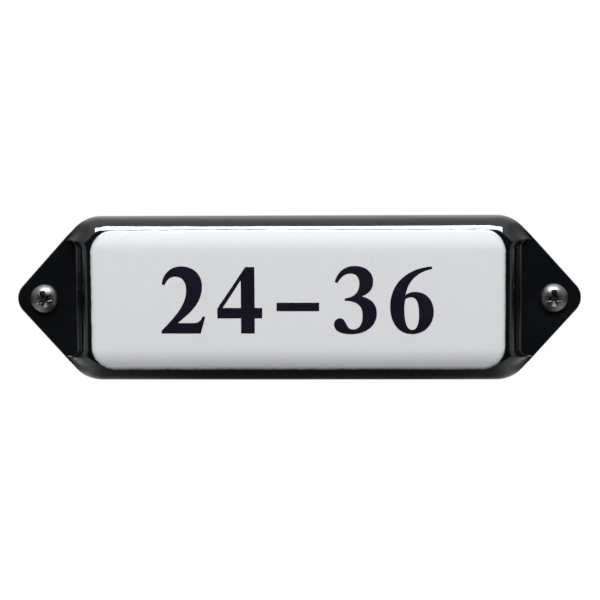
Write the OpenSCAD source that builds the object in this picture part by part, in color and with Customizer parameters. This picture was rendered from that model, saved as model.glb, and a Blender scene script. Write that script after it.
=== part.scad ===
// Enamelled door plate: one pressed sheet with a raised, crowned panel and two flat
// pointed ears, a field of white enamel fired on the panel, and a screw in each ear.
// The plate hangs in its own frame: X runs along it, Z is up, the wall is the plane
// Y = 0 and the front faces -Y. Heights below are heights off the wall, along -Y.

/* [Sheet] */
// Height of the plate over its two long skirts
plate_h = 41.2; // [38:0.1:60]
// Thickness of the sheet with its enamel
sheet_t = 1.2; // [0.8:0.1:1.5]
// Rounding that the enamel gives the front edge
edge_r = 0.4; // [0.2:0.05:0.6]

/* [Ears] */
// Length of each ear, from the panel's foot to the tip
ear_l = 14.1; // [12:0.1:30]
// Radius of the ear's tip
tip_r = 4.6; // [3:0.1:5.5]
// Radius of the outline where the ear's edge meets the long edge
shoulder_r = 9; // [4:0.5:11]
// How far inside the foot those two edges would meet if they stayed straight
shoulder_in = 2.9; // [1.5:0.1:4]

/* [Raised panel] */
// Length of the panel, from foot to foot
panel_l = 111.8; // [108:0.2:200]
// Height of its middle off the wall
panel_rise = 6.5; // [4:0.1:9]
// How steeply its long skirts stand on the wall
skirt_a = 75; // [65:1:90]
// How long the shoulder of the slope keeps its direction, as a share of the slope
shoulder_hold = 0.5; // [0.4:0.02:0.64]
// The same on the two short sides
end_hold = 0.66; // [0.4:0.02:0.7]
// The same for the hollow at the foot of the slope
foot_hold = 0.52; // [0.3:0.02:0.56]
// How far the foot runs out towards the ear's edge at the corners
flare_l = 2.2; // [1:0.1:3]
// Height of the bend by which it leaves the straight foot
flare_h = 1.4; // [0.6:0.1:3]
// Gap behind the sheet's edge at the four corners
corner_lift = 2.2; // [0:0.1:3]

/* [White field] */
// Length of the field
field_l = 102; // [60:0.2:106]
// Height of the field
field_h = 34.8; // [20:0.2:37]
// Radius of its corners
field_r = 5.8; // [3.4:0.1:9]
// Thickness of the white coat
coat_t = 0.25; // [0.1:0.05:0.5]
// Fall of the gentle crown from the middle to the long edges
crown = 0.35; // [0:0.05:1]
// Extra fall close to a long edge
long_roll = 0.85; // [0:0.05:1.2]
// Width of the strip that falls
long_roll_w = 8; // [4:0.5:10]
// Extra fall close to a short edge
end_roll = 0.2; // [0:0.05:0.4]
// Width of that strip
end_roll_w = 3.5; // [2:0.5:8]

/* [Screws] */
// Distance from the ear's tip to the middle of its hole
hole_in = 6.8; // [5.5:0.1:8]
// Outer diameter of the thread
screw_d = 3.5; // [2.5:0.1:4]
// Clearance round the thread in its hole
hole_gap = 0.35; // [0.1:0.05:0.6]
// How far the plain neck under the head stays inside the thread's outside
neck_in = 0.45; // [0.3:0.05:0.6]
// How far that neck runs on behind the sheet
neck_run = 0.3; // [0:0.1:0.4]
// Length of the screw under its head
screw_l = 16; // [10:1:40]
// Length of its point
point_l = 4; // [2:0.5:6]
// Diameter of the head
head_d = 7.1; // [6:0.1:8]
// Height of the head
head_h = 2.4; // [2:0.1:3]
// Height of the head's upright side
rim_h = 0.9; // [0.5:0.1:1.2]
// Cross recess, from wing to wing
recess_d = 4.2; // [3:0.1:5]
// Width of a wing
wing_w = 1.1; // [0.6:0.1:1.4]
// Depth of the recess
recess_depth = 1.7; // [1.2:0.1:1.8]
// Diameter of its floor
floor_d = 1.6; // [1:0.1:2]
// Turn of the left screw
left_turn = 14; // [-45:1:45]
// Turn of the right screw
right_turn = 0; // [-45:1:45]

/* [Hidden] */
$fn = 48;
wall_y = 0;
cut = 1;

// Main places of the outline, in the right half
foot_x = panel_l / 2;
half_l = foot_x + ear_l;
half_h = plate_h / 2;
corner_x = foot_x - shoulder_in;
tip_c = half_l - tip_r;
hole_x = half_l - hole_in;
hole_d = screw_d + 2 * hole_gap;

// The ear's edge runs from the shoulder to touch the round tip: its angle under the long edge
to_tip = [tip_c - corner_x, half_h];
ear_a = atan2(to_tip.y, to_tip.x) - asin(tip_r / norm(to_tip));

// Round shoulder of the outline, then the ear's edge up to the beak, where the flared foot meets it
shoulder_run = shoulder_r * tan(ear_a / 2);
shoulder_c = [corner_x - shoulder_run, half_h - shoulder_r];
arc_end = shoulder_c + shoulder_r * [sin(ear_a), cos(ear_a)];
beak = [foot_x + flare_l, half_h - (foot_x + flare_l - corner_x) * tan(ear_a)];
arc_l = shoulder_r * ear_a * PI / 180;
shoulder_l = arc_l + norm(beak - arc_end);

// Half sizes of the white field
field_x = field_l / 2;
field_z = field_h / 2;

// Steps along a quarter of a ring: long edge, corner, flare and foot, and round half a tip
long_n = 5;
corner_n = 9;
flare_n = 4;
foot_n = 5;
tip_n = 6;
quarter_n = long_n + corner_n + flare_n + foot_n;
// Where on the field's round corner the flare starts
flare_a = 25;
// Rings of the field, as distances inside its edge and then as shares of the last of those
insets = [0, 0.4, 1, 2, 3.2];
shares = [0.85, 0.62, 0.33];
// Rings of the slope
slope_n = 9;

// Height of the panel's front over the point p of the field
function roll(inside, fall, width, power) = fall * pow(max(0, 1 - inside / width), power);
function field_height(p) =
    panel_rise
    - crown * pow(p.y / field_z, 2)
    - roll(field_z - abs(p.y), long_roll, long_roll_w, 4)
    - roll(field_x - abs(p.x), end_roll, end_roll_w, 2);

// A point in space from its place p in the plate's plane and its height off the wall
function raised(p, height) = [p.x, wall_y - height, p.y];
function on_field(p) = raised(p, field_height(p));

// Point i of the field's edge, moved inwards by inset; i runs from the top middle to the right middle
function field_edge(i, inset) =
    let (
        c = [field_x - field_r, field_z - field_r],
        corner_i = i - long_n,
        flare_i = corner_i - corner_n,
        foot_i = flare_i - flare_n,
        a = flare_i < 0 ? 90 - (90 - flare_a) * corner_i / corner_n : flare_a * (1 - flare_i / flare_n)
    )
    corner_i < 0 ? [c.x * i / long_n, field_z - inset]
    : foot_i > 0 ? [field_x - inset, c.y * (1 - foot_i / foot_n)]
    : c + (field_r - inset) * [cos(a), sin(a)];

// A place on the outline: the point, its outward direction, how far the sheet leans over
// there (0 is flat, 90 stands on the wall) and the gap behind it
function long_edge(u) = [[shoulder_c.x * u, half_h], [0, 1], skirt_a, 0];
function shoulder_edge(u) =
    let (
        s = u * shoulder_l,
        a = ear_a * min(1, s / arc_l),
        p = s < arc_l ? shoulder_c + shoulder_r * [sin(a), cos(a)]
            : arc_end + (s - arc_l) * [cos(ear_a), -sin(ear_a)]
    )
    [p, [sin(a), cos(a)], skirt_a * (1 - u), corner_lift * pow(sin(180 * u), 2)];
function tip_edge(u) =
    let (a = (90 - ear_a) * (1 - u))
    [[tip_c, 0] + tip_r * [cos(a), sin(a)], [cos(a), sin(a)], 0, 0];

// A point of the sheet's section at the place e, from the front corner of its cut edge:
// along the sheet outwards by out, and through the sheet towards the front by up
function at_edge(e, out, up) =
    raised(
        e[0] + e[1] * (out * cos(e[2]) + up * sin(e[2])),
        sheet_t * cos(e[2]) + e[3] - out * sin(e[2]) + up * cos(e[2])
    );

// Foot of the slope: from the beak the flare bends into the straight foot line
flare_start = beak - edge_r * [sin(ear_a), cos(ear_a)];
flare_end = [foot_x, flare_start.y - flare_h];
function flare_point(u) =
    pow(1 - u, 2) * flare_start + 2 * u * (1 - u) * [foot_x, flare_start.y] + u * u * flare_end;

// Where the slope ends beside point i of the field's edge, how far round the corner that is,
// and how far the slope leans there
function slope_end(i) =
    let (corner_i = i - long_n, flare_i = corner_i - corner_n, foot_i = flare_i - flare_n)
    corner_i < 0 ? at_edge(long_edge(i / long_n), -edge_r, 0)
    : flare_i <= 0 ? at_edge(shoulder_edge(corner_i / corner_n), -edge_r, 0)
    : foot_i < 0 ? raised(flare_point(flare_i / flare_n), sheet_t)
    : raised(flare_end - [0, flare_end.y * foot_i / foot_n], sheet_t);
function round_corner(i) = min(1, max(0, (i - long_n) / corner_n));
function slope_lean(i) = skirt_a * (1 - round_corner(i));

// Point of the slope at the share v of its way down, a curve that leaves the field along
// the field's own surface and ends with the lean of its end
function slope_point(i, v) =
    let (
        f = field_edge(i, 0),
        p0 = on_field(f),
        p3 = slope_end(i),
        across = [p3.x, p3.z] - f,
        w = across / norm(across),
        step = 0.01,
        fall = p3.y - p0.y,
        lean0 = atan2(field_height(f - step * w) - field_height(f), step),
        lean1 = slope_lean(i),
        hold = shoulder_hold + (end_hold - shoulder_hold) * round_corner(i),
        reach0 = hold * (norm(across) * cos(lean0) + fall * sin(lean0)),
        reach1 = foot_hold * (norm(across) * cos(lean1) + fall * sin(lean1)),
        p1 = p0 + reach0 * [w.x * cos(lean0), sin(lean0), w.y * cos(lean0)],
        p2 = p3 - reach1 * [w.x * cos(lean1), sin(lean1), w.y * cos(lean1)]
    )
    pow(1 - v, 3) * p0 + 3 * v * pow(1 - v, 2) * p1 + 3 * v * v * (1 - v) * p2 + pow(v, 3) * p3;

// A whole ring from its upper right quarter, which has a point on each of the two axes
function mirrored(q, sx, sz) = [for (p = q) [sx * p.x, p.y, sz * p.z]];
function turned(q) = [for (i = [len(q) - 1 : -1 : 1]) q[i]];
function headed(q) = [for (i = [0 : len(q) - 2]) q[i]];
function ring(q) =
    concat(
        headed(q),
        turned(mirrored(q, 1, -1)),
        headed(mirrored(q, -1, -1)),
        turned(mirrored(q, -1, 1))
    );

// Rings of the panel's front, from the field's middle outwards, and of the slope round it
function field_ring(inset, share) =
    ring([for (i = [0 : quarter_n]) on_field(share * field_edge(i, inset))]);
field_rings = concat(
    [for (k = [len(shares) - 1 : -1 : 0]) field_ring(insets[len(insets) - 1], shares[k])],
    [for (k = [len(insets) - 1 : -1 : 0]) field_ring(insets[k], 1)]
);
slope_rings = [for (k = [1 : slope_n]) ring([for (i = [0 : quarter_n]) slope_point(i, k / slope_n)])];
front_rings = concat(field_rings, slope_rings);
front_middle = on_field([0, 0]);

// The outward direction of the front at point k of ring j
function facing(rings, j, k) =
    let (
        n = len(rings[j]),
        along = rings[j][(k + 1) % n] - rings[j][(k + n - 1) % n],
        out = rings[min(j + 1, len(rings) - 1)][k] - rings[max(j - 1, 0)][k],
        c = cross(along, out)
    )
    c / norm(c);
function moved(rings, j, by) = [for (k = [0 : len(rings[j]) - 1]) rings[j][k] + by * facing(rings, j, k)];

// The back is the front moved through the sheet, down to the edge that the sheet was cut to
function back_end(i) =
    let (corner_i = i - long_n, p = slope_end(i))
    corner_i < 0 ? at_edge(long_edge(i / long_n), 0, -sheet_t)
    : corner_i <= corner_n ? at_edge(shoulder_edge(corner_i / corner_n), 0, -sheet_t)
    : [p.x, wall_y, p.z];
front_end_row = [for (i = [0 : quarter_n]) slope_end(i)];
back_end_row = [for (i = [0 : quarter_n]) back_end(i)];
back_rings = concat(
    [for (j = [0 : len(front_rings) - 2]) moved(front_rings, j, -sheet_t)],
    [ring(back_end_row)]
);
back_middle = front_middle + [0, sheet_t, 0];

// A quarter of the whole outline: long edge, shoulder, ear's edge and half the tip
outline = concat(
    [for (i = [0 : long_n - 1]) long_edge(i / long_n)],
    [for (i = [0 : corner_n]) shoulder_edge(i / corner_n)],
    [for (i = [0 : tip_n]) tip_edge(i / tip_n)]
);
function outline_row(out, up) = [for (e = outline) at_edge(e, out, up)];

// Triangles between two rings, and from the point c to a row of points
function between(a, b) =
    [for (k = [0 : len(a) - 1]) let (m = (k + 1) % len(a)) each [[a[k], b[k], b[m]], [a[k], b[m], a[m]]]];
function skin(rings) = [for (j = [0 : len(rings) - 2]) each between(rings[j], rings[j + 1])];
function fan(c, row) = [for (k = [0 : len(row) - 2]) [c, row[k], row[k + 1]]];
function cap(c, row) = fan(c, concat(row, [row[0]]));
function flipped(triangles) = [for (t = triangles) [t[0], t[2], t[1]]];

// Both ears' flat faces. Each is a fan from the tip: up the ear's edge to the beak, down the
// foot of the slope, and back along the lower edge.
function ear_faces(edge, foot) =
    let (
        beak_i = long_n + corner_n,
        upper = concat(
            [for (k = [len(edge) - 2 : -1 : beak_i]) edge[k]],
            [for (k = [beak_i + 1 : quarter_n]) foot[k]]
        ),
        lower = mirrored(upper, 1, -1),
        row = concat(upper, [for (k = [len(lower) - 2 : -1 : 0]) lower[k]]),
        face = fan(edge[len(edge) - 1], row)
    )
    concat(flipped(face), [for (t = face) mirrored(t, -1, 1)]);

module solid_of(triangles) {
    polyhedron(
        points = [for (t = triangles) each t],
        faces = [for (k = [0 : len(triangles) - 1]) [3 * k, 3 * k + 1, 3 * k + 2]]
    );
}

module bore(side) {
    translate([side * hole_x, wall_y + cut, 0])
        rotate([90, 0, 0])
            cylinder(d = hole_d, h = sheet_t + 2 * cut);
}

// The pressed sheet, open behind
module plate() {
    bevel = edge_r * (1 - cos(45));
    front_edge = outline_row(-edge_r, 0);
    back_edge = outline_row(0, -sheet_t);
    rim_rows = [front_edge, outline_row(-bevel, -bevel), outline_row(0, -edge_r), back_edge];
    front = concat(
        cap(front_middle, front_rings[0]),
        skin(front_rings),
        ear_faces(front_edge, front_end_row)
    );
    back = concat(
        cap(back_middle, back_rings[0]),
        skin(back_rings),
        ear_faces(back_edge, back_end_row)
    );
    color("#17181c")
        difference() {
            solid_of(concat(front, skin([for (row = rim_rows) ring(row)]), flipped(back)));
            for (side = [-1, 1])
                bore(side);
        }
}

// The white coat lies on the panel and runs out to nothing at its own edge
module white_enamel() {
    last = len(field_rings) - 1;
    top_rings = concat(
        [for (j = [0 : last - 1]) moved(field_rings, j, coat_t)],
        [field_rings[last]]
    );
    color("#e9ebee")
        solid_of(concat(
            cap(front_middle - [0, coat_t, 0], top_rings[0]),
            skin(top_rings),
            flipped(concat(cap(front_middle, field_rings[0]), skin(field_rings)))
        ));
}

// Pan head with a cross recess, whose wings narrow towards its floor
module screw_head(turn) {
    dome = head_h - rim_h;
    dome_r = (pow(head_d / 2, 2) + pow(dome, 2)) / (2 * dome);
    floor_h = head_h - recess_depth;
    mouth_h = head_h - dome_r + sqrt(pow(dome_r, 2) - pow(recess_d / 2, 2));
    flank = (recess_d - floor_d) / (mouth_h - floor_h);
    difference() {
        intersection() {
            cylinder(d = head_d, h = head_h);
            translate([0, 0, head_h - dome_r])
                sphere(r = dome_r);
        }
        translate([0, 0, floor_h])
            rotate(turn)
                intersection() {
                    cylinder(d1 = floor_d, d2 = floor_d + flank * head_h, h = head_h);
                    for (a = [0, 90])
                        rotate(a)
                            translate([-head_d, -wing_w / 2, -cut])
                                cube([2 * head_d, wing_w, head_h + 2 * cut]);
                }
    }
}

// A whole screw, its head seated on the front of the ear and its thread behind the sheet
module screw(side, turn) {
    neck_l = sheet_t + neck_run;
    color("#8d8e90")
        translate([side * hole_x, wall_y - sheet_t, 0])
            rotate([90, 0, 0]) {
                screw_head(turn);
                translate([0, 0, -neck_l])
                    cylinder(d = screw_d - 2 * neck_in, h = neck_l);
                translate([0, 0, point_l - screw_l])
                    cylinder(d = screw_d, h = screw_l - point_l - neck_l);
                translate([0, 0, -screw_l])
                    cylinder(d1 = screw_d * 0.1, d2 = screw_d, h = point_l);
            }
}

module screw_left() {
    screw(-1, left_turn);
}

module screw_right() {
    screw(1, right_turn);
}

plate();
white_enamel();
screw_left();
screw_right();
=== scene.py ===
# Enamelled door plate: fine meshes, enamels, steel screws, studio light and camera
import math

import bmesh
import bpy
from mathutils import Matrix, Vector


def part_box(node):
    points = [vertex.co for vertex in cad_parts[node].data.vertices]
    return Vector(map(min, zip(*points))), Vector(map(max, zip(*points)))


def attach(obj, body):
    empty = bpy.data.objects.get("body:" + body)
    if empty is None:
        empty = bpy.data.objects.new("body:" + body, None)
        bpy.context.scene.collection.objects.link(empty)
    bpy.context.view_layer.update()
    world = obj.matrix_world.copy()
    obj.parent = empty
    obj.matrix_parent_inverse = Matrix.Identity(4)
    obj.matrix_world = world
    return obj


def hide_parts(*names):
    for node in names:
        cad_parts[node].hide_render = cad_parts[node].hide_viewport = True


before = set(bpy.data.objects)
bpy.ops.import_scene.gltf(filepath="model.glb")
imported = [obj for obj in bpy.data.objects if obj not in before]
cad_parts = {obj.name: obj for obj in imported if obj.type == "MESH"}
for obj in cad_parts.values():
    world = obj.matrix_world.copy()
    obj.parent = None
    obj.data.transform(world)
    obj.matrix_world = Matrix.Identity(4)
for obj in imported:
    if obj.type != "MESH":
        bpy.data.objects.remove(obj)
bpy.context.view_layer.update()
plate_low, plate_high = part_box("plate")

MM = 0.001

# Sizes in millimetres and angles in degrees, as in the solids but for softer corners and edges

# The sheet, its outline and its holes
HALF_L = (plate_high[0] - plate_low[0]) / 2 / MM
HALF_H = 20.6
SHEET = 1.2
FRONT_ROUND = 0.4
BACK_ROUND = 0.2
EAR_L = 14.1
TIP_R = 4.6
SHOULDER_R = 9.0
SHOULDER_IN = 2.9
HOLE_R = 2.1
HOLE_IN = 6.8

FOOT_X = HALF_L - EAR_L
CORNER_X = FOOT_X - SHOULDER_IN
TIP_C = HALF_L - TIP_R
HOLE_X = HALF_L - HOLE_IN

# The panel's rise, the lean of its long skirts, and the flare and lift of its corners
RISE = 6.55
SKIRT_A = 75.0
FLARE_L = 2.2
FLARE_H = 1.4
FLARE_A = 25.0
CORNER_LIFT = 0.6

# How long the slope keeps the direction of its ends, as a share of the way, and what corners take off
SHOULDER_HOLD = 0.5
END_HOLD = 0.66
FOOT_HOLD = 0.52
CORNER_EASE = 0.08
FOOT_EASE = 0.3

# The white field, its crown and its rolled edges
FIELD_X = 51.0
FIELD_Z = 17.4
FIELD_R = 5.8
CROWN = 0.05
LONG_ROLL = 1.35
LONG_ROLL_W = 5.2
END_ROLL = 0.2
END_ROLL_W = 3.5
COAT = 0.25
COAT_ROUND = 0.7

# Points along a quarter of the plate, rings down its slope and steps round its small edges
LONG_N = 34
CORNER_N = 40
FLARE_N = 14
FOOT_N = 22
EAR_N = 20
TIP_N = 12
SLOPE_N = 26
FRONT_ROUND_N = 6
BACK_ROUND_N = 3
HOLE_ROUND_N = 4

# Insets of the field's rings from its edge; inside the last they shrink towards the middle by shares
SHEET_INSETS = (0.0, 0.1, 0.25, 0.5, 0.9, 1.4, 2.2, 3.2)
COAT_INSETS = (0.0, 0.03, 0.08, 0.15, 0.25, 0.38, 0.54, 0.75, 1.0, 1.4, 1.9, 2.5, 3.2)
SHEET_SHARES = (0.93, 0.82, 0.64, 0.42, 0.2)
COAT_SHARES = (0.95, 0.88, 0.78, 0.66, 0.52, 0.38, 0.25, 0.12)
EAR_SHARES = (1.0, 0.97, 0.85, 0.6, 0.3, 0.08, 0.0)
INMOST = SHEET_INSETS[-1]

# Step for measuring how steep the field is
PROBE = 0.01


def turned_by(angle):
    """Sine and cosine of an angle in degrees."""
    a = math.radians(angle)
    return math.sin(a), math.cos(a)


def quarter_turn(steps):
    """Sine and cosine at each step of a quarter turn."""
    return [turned_by(90 * k / steps) for k in range(steps + 1)]


def eased(share):
    """A share from 0 to 1 that starts and ends gently."""
    return share * share * (3 - 2 * share)


# Angle of the ear's edge under the long edge, and the places where the outline bends
TIP_REACH = math.hypot(TIP_C - CORNER_X, HALF_H)
EAR_A = math.degrees(math.atan2(HALF_H, TIP_C - CORNER_X) - math.asin(TIP_R / TIP_REACH))
EAR_S, EAR_C = turned_by(EAR_A)
SHOULDER_CX = CORNER_X - SHOULDER_R * math.tan(math.radians(EAR_A / 2))
SHOULDER_CZ = HALF_H - SHOULDER_R
ARC_END = (SHOULDER_CX + SHOULDER_R * EAR_S, SHOULDER_CZ + SHOULDER_R * EAR_C)
BEAK = (FOOT_X + FLARE_L, HALF_H - (FOOT_X + FLARE_L - CORNER_X) * EAR_S / EAR_C)
ARC_L = SHOULDER_R * math.radians(EAR_A)
SHOULDER_L = ARC_L + math.dist(BEAK, ARC_END)
FLARE_START = (BEAK[0] - FRONT_ROUND * EAR_S, BEAK[1] - FRONT_ROUND * EAR_C)
FLARE_END = (FOOT_X, FLARE_START[1] - FLARE_H)


def raised(x, z, height):
    """A point over the wall, in millimetres; the front faces -Y."""
    return Vector((x, -height, z))


def roll(inside, fall, width):
    """How far a rolled edge has fallen at a distance inside it."""
    return fall * max(0.0, 1 - inside / width) ** 2


def field_height(x, z):
    """Height of the sheet's front over the white field."""
    return (
        RISE
        - CROWN * (z / FIELD_Z) ** 2
        - roll(FIELD_Z - abs(z), LONG_ROLL, LONG_ROLL_W)
        - roll(FIELD_X - abs(x), END_ROLL, END_ROLL_W)
    )


def over_field(x, z, above=0.0):
    """A point of the field, lifted square to its surface."""
    rise_x = (field_height(x + PROBE, z) - field_height(x - PROBE, z)) / (2 * PROBE)
    rise_z = (field_height(x, z + PROBE) - field_height(x, z - PROBE)) / (2 * PROBE)
    normal = Vector((-rise_x, -1.0, -rise_z)).normalized()
    return raised(x, z, field_height(x, z)) + normal * above


def corner_lean(u):
    """Lean of the skirt round the corner, which stays steep for most of the way."""
    return SKIRT_A * (1 - eased(u ** 1.5))


# Outline of the upper right quarter: point, outward direction, lean of the sheet and gap behind it


def long_edge(u):
    return (SHOULDER_CX * u, HALF_H), (0.0, 1.0), SKIRT_A, 0.0


def shoulder_edge(u):
    s = u * SHOULDER_L
    sa, ca = turned_by(EAR_A * min(1.0, s / ARC_L))
    if s < ARC_L:
        p = (SHOULDER_CX + SHOULDER_R * sa, SHOULDER_CZ + SHOULDER_R * ca)
    else:
        p = (ARC_END[0] + (s - ARC_L) * EAR_C, ARC_END[1] - (s - ARC_L) * EAR_S)
    lift = CORNER_LIFT * math.sin(math.pi * u) ** 2
    return p, (sa, ca), corner_lean(u), lift


def ear_edge(u):
    start = (TIP_C + TIP_R * EAR_S, TIP_R * EAR_C)
    p = (BEAK[0] + (start[0] - BEAK[0]) * u, BEAK[1] + (start[1] - BEAK[1]) * u)
    return p, (EAR_S, EAR_C), 0.0, 0.0


def tip_edge(u):
    sa, ca = turned_by((90 - EAR_A) * (1 - u))
    return (TIP_C + TIP_R * ca, TIP_R * sa), (ca, sa), 0.0, 0.0


def at_edge(edge, out, up):
    """A point of the sheet's section: along the sheet by out, through it by up."""
    p, n, lean, gap = edge
    sl, cl = turned_by(lean)
    side = out * cl + up * sl
    return raised(p[0] + n[0] * side, p[1] + n[1] * side, SHEET * cl + gap - out * sl + up * cl)


def flare(u):
    """Where the slope's end turns from the outline into the ear's foot."""
    a, b, c = (1 - u) ** 2, 2 * u * (1 - u), u * u
    x = a * FLARE_START[0] + b * FOOT_X + c * FLARE_END[0]
    z = (a + b) * FLARE_START[1] + c * FLARE_END[1]
    return x, z


def field_corner(angle, inset):
    """A point on the field's round corner, inset from its edge."""
    sa, ca = turned_by(angle)
    r = FIELD_R - inset
    return FIELD_X - FIELD_R + r * ca, FIELD_Z - FIELD_R + r * sa


def stations():
    """Places from the middle of the long edge to the middle of the ear's foot.

    Each has the field's edge by its inset, the slope's end, the share of the corner and the back's end.
    """
    rows = []
    for k in range(LONG_N):
        u = k / LONG_N
        e = long_edge(u)
        rows.append((
            lambda inset, u=u: ((FIELD_X - FIELD_R) * u, FIELD_Z - inset),
            at_edge(e, -FRONT_ROUND, 0), 0.0, at_edge(e, -BACK_ROUND, -SHEET),
        ))
    for k in range(CORNER_N + 1):
        u = k / CORNER_N
        e = shoulder_edge(u)
        rows.append((
            lambda inset, u=u: field_corner(90 - (90 - FLARE_A) * u, inset),
            at_edge(e, -FRONT_ROUND, 0), u, at_edge(e, -BACK_ROUND, -SHEET),
        ))
    for k in range(1, FLARE_N):
        u = k / FLARE_N
        x, z = flare(u)
        rows.append((
            lambda inset, u=u: field_corner(FLARE_A * (1 - u), inset),
            raised(x, z, SHEET), 1.0, raised(x, z, 0.0),
        ))
    for k in range(FOOT_N + 1):
        u = k / FOOT_N
        z = FLARE_END[1] * (1 - u)
        rows.append((
            lambda inset, u=u: (FIELD_X - inset, (FIELD_Z - FIELD_R) * (1 - u)),
            raised(FOOT_X, z, SHEET), 1.0, raised(FOOT_X, z, 0.0),
        ))
    return rows


def slope_curve(station):
    """Control points of the slope's curve beside a station of the field's edge."""
    place, end, turn, _ = station
    fx, fz = place(0.0)
    p0 = raised(fx, fz, field_height(fx, fz))
    across = Vector((end.x - fx, end.z - fz))
    span = across.length
    w = across / span
    fall = end.y - p0.y
    lean0 = math.atan2(field_height(fx - PROBE * w.x, fz - PROBE * w.y) - field_height(fx, fz), PROBE)
    s0, c0 = math.sin(lean0), math.cos(lean0)
    s1, c1 = turned_by(corner_lean(turn))
    hold = SHOULDER_HOLD + (END_HOLD - SHOULDER_HOLD) * eased(turn) ** 2
    hold -= CORNER_EASE * math.sin(math.pi * turn) ** 2
    reach0 = hold * (span * c0 + fall * s0)
    near_ear = min(1.0, max(0.0, (end.z - FLARE_END[1]) / FLARE_H))
    tight = FOOT_EASE * eased(turn) * eased(near_ear)
    reach1 = (FOOT_HOLD - tight) * (span * c1 + fall * s1)
    p1 = p0 + reach0 * Vector((w.x * c0, s0, w.y * c0))
    p2 = end - reach1 * Vector((w.x * c1, s1, w.y * c1))
    return p0, p1, p2, end


def on_curve(p, v):
    a = 1 - v
    return a ** 3 * p[0] + 3 * v * a * a * p[1] + 3 * v * v * a * p[2] + v ** 3 * p[3]


def mirrored(row, sx, sz):
    return [Vector((sx * p.x, p.y, sz * p.z)) for p in row]


def whole_ring(quarter):
    """A closed ring from its upper right quarter, which has a point on each axis."""
    return (
        quarter[:-1]
        + mirrored(quarter, 1, -1)[:0:-1]
        + mirrored(quarter, -1, -1)[:-1]
        + mirrored(quarter, -1, 1)[:0:-1]
    )


def moved_through(rings, by):
    """Rings moved square to the surface that they lie on."""
    out = []
    for j, ring in enumerate(rings):
        n = len(ring)
        after, before = rings[min(j + 1, len(rings) - 1)], rings[max(j - 1, 0)]
        row = []
        for k in range(n):
            along = ring[(k + 1) % n] - ring[k - 1]
            normal = along.cross(after[k] - before[k]).normalized()
            row.append(ring[k] + by * normal)
        out.append(row)
    return out


class Skin:
    """Points and faces of one mesh, in millimetres until it is made."""

    def __init__(self):
        self.points = []
        self.faces = []

    def row(self, points):
        start = len(self.points)
        self.points += points
        return list(range(start, len(self.points)))

    def strips(self, rows):
        """Quads between neighbouring closed rows of points."""
        made = [self.row(r) for r in rows]
        for a, b in zip(made, made[1:]):
            for k in range(len(a)):
                m = (k + 1) % len(a)
                self.faces.append((a[k], b[k], b[m], a[m]))

    def cap(self, middle, ring):
        """A fan of triangles that closes a ring."""
        c = self.row([middle])[0]
        r = self.row(ring)
        for k in range(len(r)):
            self.faces.append((c, r[k], r[(k + 1) % len(r)]))

    def made(self, name, sharp_above=None):
        """The joined, smooth object."""
        mesh = bpy.data.meshes.new(name)
        mesh.from_pydata([p * MM for p in self.points], [], self.faces)
        bm = bmesh.new()
        bm.from_mesh(mesh)
        bmesh.ops.remove_doubles(bm, verts=bm.verts, dist=2e-7)
        bmesh.ops.dissolve_degenerate(bm, edges=bm.edges, dist=1e-8)
        bmesh.ops.recalc_face_normals(bm, faces=bm.faces)
        bm.to_mesh(mesh)
        bm.free()
        return placed(name, mesh, sharp_above)


def placed(name, mesh, sharp_above=None):
    """An object with smooth faces; edges sharper than the angle stay crisp."""
    mesh.polygons.foreach_set("use_smooth", [True] * len(mesh.polygons))
    if sharp_above is not None:
        mesh.set_sharp_from_angle(angle=math.radians(sharp_above))
    obj = bpy.data.objects.new(name, mesh)
    bpy.context.scene.collection.objects.link(obj)
    return obj


# Pressed sheet

quarter = stations()
outline = (
    [long_edge(k / LONG_N) for k in range(LONG_N)]
    + [shoulder_edge(k / CORNER_N) for k in range(CORNER_N + 1)]
    + [ear_edge(k / EAR_N) for k in range(1, EAR_N)]
    + [tip_edge(k / TIP_N) for k in range(TIP_N + 1)]
)
BEAK_I = LONG_N + CORNER_N


def field_ring(inset, share=1.0):
    """A ring of the sheet's front at an inset from the field's edge, shrunk by a share."""
    row = []
    for place, _, _, _ in quarter:
        x, z = place(inset)
        row.append(raised(x * share, z * share, field_height(x * share, z * share)))
    return whole_ring(row)


def outline_row(out, up):
    return [at_edge(e, out, up) for e in outline]


def ear_loop(edge, foot):
    """Round the right ear's flat: up its edge, down its foot and back along its lower edge."""
    upper = edge[:BEAK_I - 1:-1] + foot[BEAK_I + 1:]
    return upper + mirrored(upper, 1, -1)[-2:0:-1]


def ear_flat(skin, edge, foot, height, sign):
    """Both ears' flats with their round holes; sign is 1 on the front and -1 on the back."""
    loop = ear_loop(edge, foot)
    rim = FRONT_ROUND if sign > 0 else BACK_ROUND
    angles = [math.atan2(p.z, p.x - HOLE_X) for p in loop]

    def circle(radius, h):
        return [raised(HOLE_X + radius * math.cos(a), radius * math.sin(a), h) for a in angles]

    inner = circle(HOLE_R + rim, height)
    rows = [[b.lerp(p, share) for b, p in zip(inner, loop)] for share in EAR_SHARES]
    for s, c in quarter_turn(HOLE_ROUND_N)[1:]:
        rows.append(circle(HOLE_R + rim * (1 - s), height - sign * rim * (1 - c)))
    rows.append(circle(HOLE_R, SHEET / 2))
    for side in (1, -1):
        skin.strips([mirrored(r, side, 1) for r in rows])


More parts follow.
